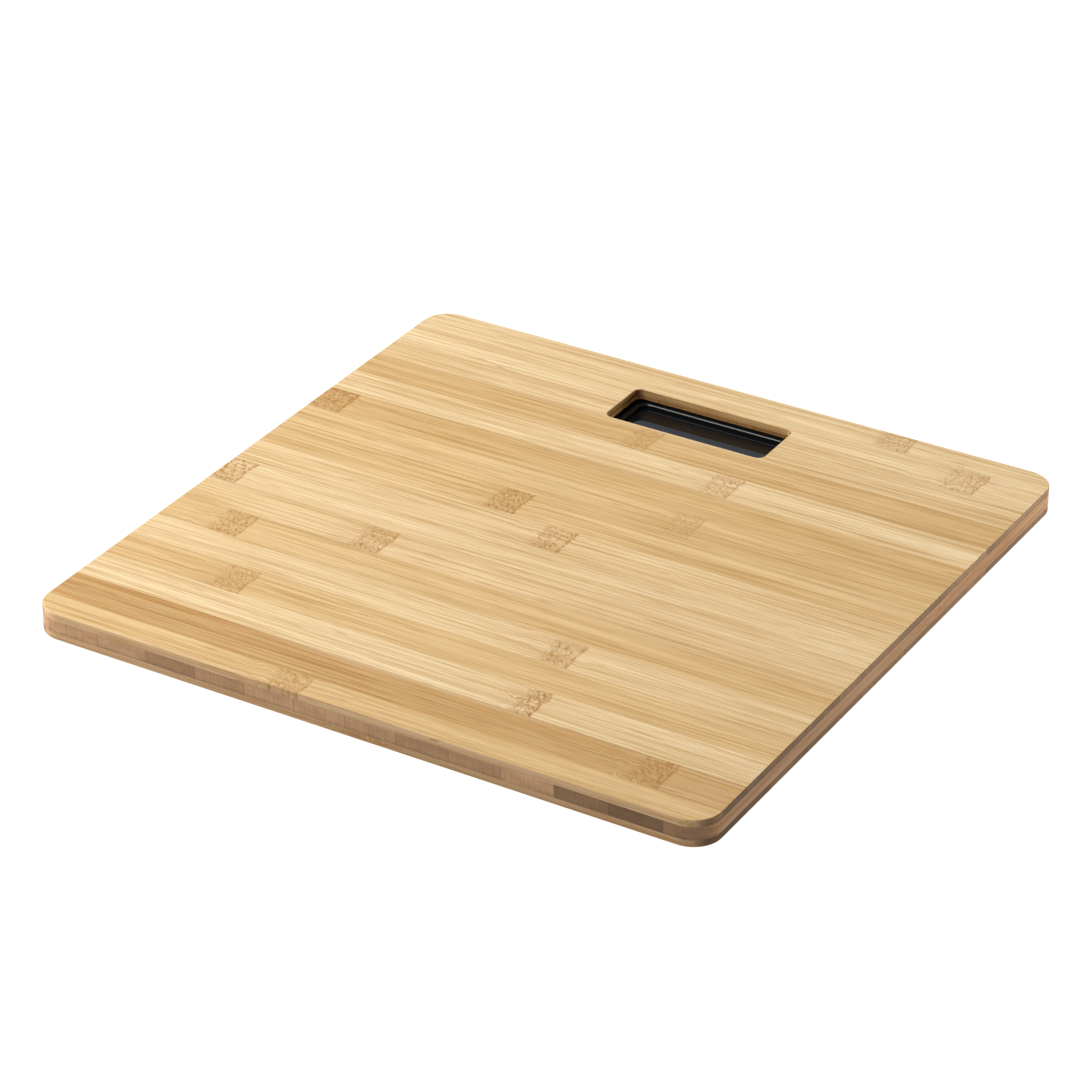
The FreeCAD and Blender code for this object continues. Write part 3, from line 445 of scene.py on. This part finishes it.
core_strips = [
    (CARAMEL, 0.58, 0.2, (40, 7, 0.5)), (HONEY, 0.39, 0.2, (-90, 7, 0.5)),
    (TAN, 0.52, 0.3, (75, 7, 0.5)), (STRAW, 0.99, 0.1, (-20, 7, 0.5)),
    (PALE, 0.81, 0.2, (130, 7, 0.5)), (HONEY, 0.77, 0.2, (10, 7, 0.5)),
    (STRAW, 0.89, 0.3, (-60, 7, 0.5)), (TAN, 0.99, 0.2, (95, 7, 0.5)),
    (STRAW, 0.98, 0.1, (-125, 7, 0.5)), (HONEY, 0.83, 0.2, (25, 7, 0.5)),
    (PALE, 0.70, 0.2, (-45, 7, 0.5)), (STRAW, 0.94, 0.1, (60, 7, 0.5)),
    (HONEY, 0.96, 0.2, (-100, 7, 0.5)), (STRAW, 0.93, 0.2, (0, 7, 0.5)),
]
bottom_strips = [
    (HONEY, 0.35, 0.2, (-60, 7, 0.5)), (STRAW, 0.40, 0.2, (25, 7, 0.5)),
    (TAN, 0.33, 0.2, (101, 7, 0.6)), (STRAW, 0.32, 0.3, (-128, 7, 0.5)),
    (PALE, 0.48, 0.1, (66, 7, 0.5)), (HONEY, 0.45, 0.2, (-21, 7, 0.6)),
    (STRAW, 0.43, 0.5, (138, 7, 0.5)), (TAN, 0.42, 0.2, (-84, 7, 0.6)),
    (PALE, 0.45, 0.2, (12, 7, 0.5)), (STRAW, 0.47, 0.2, (-110, 7, 0.5)),
    (HONEY, 0.40, 0.3, (84, 7, 0.6)), (TAN, 0.36, 0.2, (-38, 7, 0.5)),
    (STRAW, 0.33, 0.1, (120, 7, 0.6)), (PALE, 0.40, 0.6, (-71, 7, 0.5)),
    (HONEY, 0.27, 0.2, (47, 7, 0.5)), (STRAW, 0.21, 0.2, (-142, 7, 0.6)),
    (UMBER, 0.26, 0.2, (5, 7, 0.5)),
]
grain_x, grain_y = 0, 1
coat("top_ply", bamboo("bamboo_top", grain_x, face_first, face_pitch, top_strips))
coat("core_ply", bamboo("bamboo_core", grain_y, core_first, core_pitch, core_strips))
coat("bottom_ply", bamboo("bamboo_bottom", grain_x, face_first, face_pitch, bottom_strips))


# ---------------------------------------------------------------- moulded plastic shells
# Injection-moulded ABS: the upper shell is gloss where the display shows it, and the cover,
# the door and the button have a spark-eroded texture. A foam ring seals shell to board.
def moulded(name, colour, roughness, grain_size, grain_depth):
    """Moulded plastic with an even pebble texture of the given size and depth, in mm."""
    plastic = Finish(name)
    x, y, z = plastic.place()
    pebble = plastic.noise(x / grain_size, y / grain_size, z / grain_size, 2.0, 0.6)
    flow = plastic.noise(x / 30.0, y / 30.0, z / 30.0, 2.0)
    return plastic.set(Base_Color=plastic.dim(colour, 1.0 + flow * 0.25 + pebble * 0.15),
                       Roughness=roughness + flow * 0.08 + pebble * 0.10,
                       Normal=plastic.bump(pebble, grain_depth * MM))


matt_black = moulded("textured_black_abs", (0.022, 0.022, 0.023), 0.50, 0.35, 0.02)
coat("display_housing", moulded("gloss_black_abs", (0.012, 0.012, 0.013), 0.22, 1.5, 0.002))
coat("electronics_cover", matt_black)
coat("battery_door", matt_black)
coat("unit_button", moulded("grey_button_abs", (0.16, 0.16, 0.17), 0.45, 0.30, 0.01))
coat("display_gasket", moulded("black_foam", (0.018, 0.018, 0.018), 0.92, 0.25, 0.10))


# ---------------------------------------------------------------- display
# A polished smoked acrylic lens over two glasses and a white light guide. The lens has a
# little dust and a few smears. A striped silicone strip joins the glass to the circuit.
def smoked_acrylic():
    """Near-black acrylic with smears in its polish and a few specks of dust."""
    sheet = Finish("smoked_acrylic")
    x, y, z = sheet.place()
    smear = sheet.noise(x / 14.0, y / 9.0, z, 3.0)
    dust = sheet.fade(sheet.noise(x * 2.2, y * 2.2, z, 1.0), 0.30, 0.36)
    return sheet.set(Base_Color=sheet.mix(dust * 0.5, (0.005, 0.006, 0.008), (0.05, 0.05, 0.055)),
                     Roughness=0.045 + 0.05 * abs(smear) + dust * 0.3, Specular_IOR_Level=0.30,
                     Specular_Tint=(0.74, 0.88, 1.0))


def plain_glass(name, colour, alpha):
    """Thin tinted glass with a faint haze."""
    glass = Finish(name)
    x, y, z = glass.place()
    haze = glass.noise(x / 8.0, y / 8.0, z / 8.0, 2.0)
    return glass.set(Base_Color=glass.dim(colour, 1.0 + haze * 0.1), Roughness=0.06 + 0.03 * haze,
                     Alpha=alpha)


white_nylon = moulded("white_nylon", (0.80, 0.78, 0.72), 0.42, 0.60, 0.005)
coat("display_lens", smoked_acrylic())
coat("lcd_front_glass", plain_glass("front_glass", (0.10, 0.11, 0.13), 0.8))
coat("lcd_rear_glass", plain_glass("rear_glass", (0.08, 0.09, 0.11), 0.9))
coat("backlight_guide", white_nylon)
coat("backlight_leds", white_nylon)
coat("zebra_connector", moulded("silicone_strip", (0.60, 0.36, 0.34), 0.55, 0.40, 0.01))


# ---------------------------------------------------------------- circuit
# A green board with its chip bonded under a drop of cast epoxy, small black parts, a push
# switch with a white plunger, and a white plug for each lead.
track_pitch = 1.5            # millimetres
track_jog = 6.0


def solder_mask():
    """Green lacquer over glass cloth, a little paler where copper tracks run under it."""
    board = Finish("solder_mask")
    x, y, z = board.place()
    weave = board.noise(x * 1.4, y * 0.3, z) * board.noise(x * 0.3, y * 1.4, z)
    step = board.noise(x * 0.08, 0.0, 3.0, 0.0).maths("ROUND")
    stray = step + board.noise(x * 0.12, y * 0.06, 1.0, 0.0)
    lane = ((y + stray * track_jog) / track_pitch).maths("FRACT")
    laid = board.fade(board.noise(x / 9.0, y / 7.0, z), -0.02, 0.03)
    track = board.fade(abs(lane - 0.5), 0.28, 0.20) * laid
    green = board.mix(track * 0.8, (0.016, 0.12, 0.045), (0.045, 0.23, 0.085))
    return board.set(Base_Color=board.dim(green, 1.0 + weave * 4.0), Roughness=0.28,
                     Normal=board.bump(track, 0.03 * MM))


black_epoxy = moulded("cast_epoxy", (0.012, 0.012, 0.012), 0.18, 2.5, 0.02)
coat("main_circuit_board", solder_mask())
coat("chip_blob", black_epoxy)
coat("circuit_components", black_epoxy)
coat("lead_plugs", white_nylon)
coat("unit_switch", matt_black)
coat("unit_switch_plunger", white_nylon)


# ---------------------------------------------------------------- cells and fixings
# Two dry cells in printed foil between nickel-plated springs and contacts, red leads in PVC
# under black cloth tape, and zinc-plated screws.
def metal(name, colour, roughness, brush):
    """Plated or rolled metal with a fine brushed or tumbled grain; brush is lumps per mm."""
    steel = Finish(name)
    x, y, z = steel.place()
    scratch = steel.noise(x * brush, y * brush * 0.15, z * brush, 3.0, 0.6)
    stain = steel.noise(x / 6.0, y / 6.0, z / 6.0, 2.0)
    return steel.set(Base_Color=steel.dim(colour, 1.0 + scratch * 0.2 + stain * 0.2),
                     Roughness=roughness + scratch * 0.15 + stain * 0.12, Metallic=1.0,
                     Normal=steel.bump(scratch, 0.004 * MM))


gold_from = 0.42             # shares of half a cell's length, from its middle
ring_at = 0.34
ring_half = 0.5              # millimetres
print_blur = 0.2
bare_end = 1.0               # bare metal at each end, past the foil
foil_shift = 0.6
foil_colour = (0.030, 0.034, 0.042)
gold_colour = (0.62, 0.36, 0.12)
ring_colour = (0.75, 0.74, 0.70)
plated_colour = (0.68, 0.67, 0.64)


def cell_jacket(node, plus):
    """Printed foil round a dry cell, gold at the plus end, with bare plated ends.

    plus is 1 where the plus end points towards +X and -1 where it points towards -X.
    """
    cell = Finish("cell_jacket_" + node)
    low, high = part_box(node)
    x, y, z = cell.place()
    along = (x - (low.x + high.x) / 2 / MM) * plus
    half = (high.x - low.x) / 2 / MM
    foil = cell.fade(abs(along + foil_shift), half - bare_end, half - bare_end - print_blur)
    gold = cell.fade(along, half * gold_from, half * gold_from + print_blur)
    ring = cell.fade(abs(along - half * ring_at), ring_half + print_blur / 4,
                     ring_half - print_blur / 4)
    scuff = cell.noise(x * 0.5, y * 2.0, z * 2.0, 3.0)
    printed = cell.mix(gold, foil_colour, gold_colour)
    printed = cell.mix(ring, printed, ring_colour)
    colour = cell.mix(foil, plated_colour, printed)
    return cell.set(Base_Color=cell.dim(colour, 1.0 + scuff * 0.2), Roughness=0.30 + scuff * 0.10,
                    Metallic=1.0 - foil * (0.85 - gold * 0.45))


nickel = metal("nickel_plate", (0.70, 0.67, 0.62), 0.24, 3.0)
zinc = metal("zinc_plate", (0.62, 0.63, 0.64), 0.34, 2.0)
red_pvc = moulded("wire_pvc", (0.42, 0.03, 0.025), 0.38, 0.8, 0.01)
coat("battery_cell_front", cell_jacket("battery_cell_front", 1.0))
coat("battery_cell_back", cell_jacket("battery_cell_back", -1.0))
coat("battery_springs", nickel)
coat("battery_contacts", nickel)
coat("battery_wires", red_pvc)
coat("lead_tapes", moulded("tape_cloth", (0.026, 0.026, 0.026), 0.70, 0.5, 0.03))
for part in ("foot_screws", "cover_screws", "circuit_board_screws"):
    coat(part, zinc)

# ---------------------------------------------------------------- the four feet
# Black textured housing and cap, a ringed rubber pad, and inside them a plate of rolled
# steel that bends under load, with its gauge under white potting.
rolled_steel = metal("rolled_steel", (0.52, 0.52, 0.52), 0.30, 4.0)
pad_rubber = moulded("pad_rubber", (0.030, 0.030, 0.029), 0.72, 0.22, 0.02)
white_potting = moulded("white_potting", (0.74, 0.73, 0.68), 0.50, 1.2, 0.05)
for corner in ("front_left", "front_right", "back_left", "back_right"):
    coat("foot_housing_" + corner, matt_black)
    coat("foot_cap_" + corner, matt_black)
    coat("foot_pad_" + corner, pad_rubber)
    coat("load_cell_" + corner, rolled_steel)
    coat("strain_gauge_" + corner, white_potting)
    coat("sensor_lead_" + corner, red_pvc)
